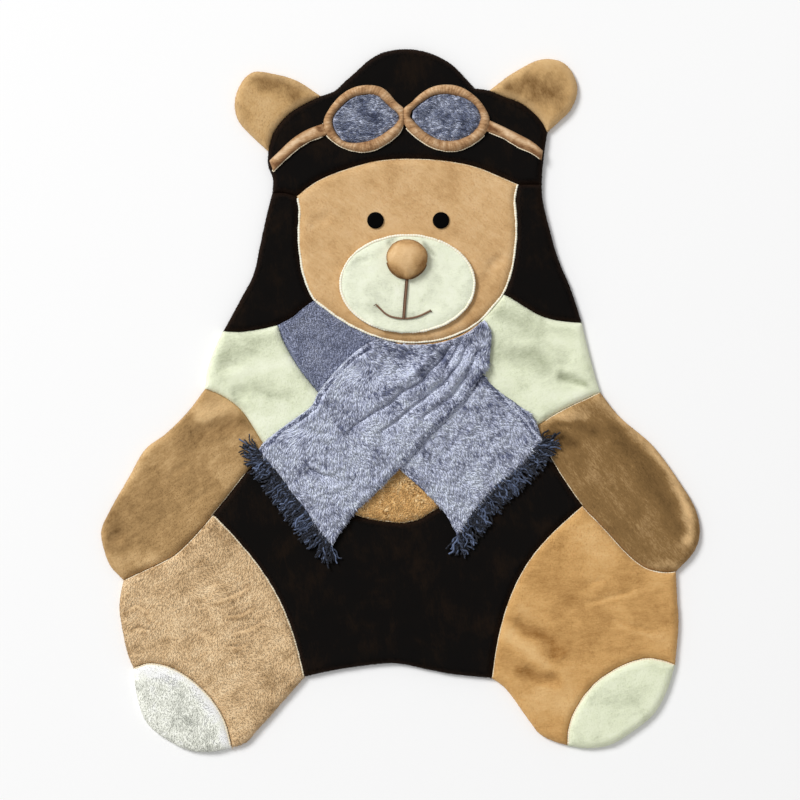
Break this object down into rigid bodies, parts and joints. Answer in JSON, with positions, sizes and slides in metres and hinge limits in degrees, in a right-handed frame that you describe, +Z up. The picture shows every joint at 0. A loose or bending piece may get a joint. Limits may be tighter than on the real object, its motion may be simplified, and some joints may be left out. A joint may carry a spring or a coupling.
{
  "type": "bear shaped kids rug",
  "caption": "Flat plush play rug in the shape of a sitting bear, with sewn padded panels, goggles on its cap and a crossed scarf with yarn fringes.",
  "frame": {"origin": "on the floor, under the middle of the whole rug", "axes": "+Z up from the floor, +Y from the feet to the head, +X to the right as seen from above with the head up"},
  "size_m": [0.8512, 0.9984, 0.0386],
  "materials": {
    "tan_plush": "short pile",
    "long_tan_plush": "long brushed pile",
    "golden_plush": "short crumpled pile",
    "brown_plush": "short dense pile",
    "cream_plush": "short pile",
    "scarf_plush": "long brushed pile",
    "goggle_plush": "short pile over piping",
    "nose_plush": "short pile, stuffed",
    "fringe_yarn": "twisted yarn",
    "eye_thread": "satin embroidery",
    "mouth_thread": "satin embroidery"
  },
  "bodies": {
    "root": {"ear_left": "tan_plush", "ear_right": "tan_plush", "crown": "brown_plush", "flap_left": "brown_plush", "flap_right": "brown_plush", "face": "tan_plush", "scarf_neck": "scarf_plush", "shirt_left": "cream_plush", "shirt_right": "cream_plush", "belly": "golden_plush", "pants": "brown_plush", "arm_left": "tan_plush", "arm_right": "tan_plush", "leg_left": "long_tan_plush", "leg_right": "tan_plush", "sole_left": "cream_plush", "sole_right": "cream_plush", "scarf_back": "scarf_plush", "scarf_front": "scarf_plush", "goggle_rim_left": "goggle_plush", "goggle_rim_right": "goggle_plush", "goggle_lens_left": "scarf_plush", "goggle_lens_right": "scarf_plush", "goggle_strap_left": "goggle_plush", "goggle_strap_right": "goggle_plush", "muzzle": "cream_plush", "nose": "nose_plush", "eye_left": "eye_thread", "eye_right": "eye_thread", "mouth_line": "mouth_thread", "smile": "mouth_thread", "fringe_front": "fringe_yarn", "fringe_back": "fringe_yarn"}
  },
  "joints": []
}
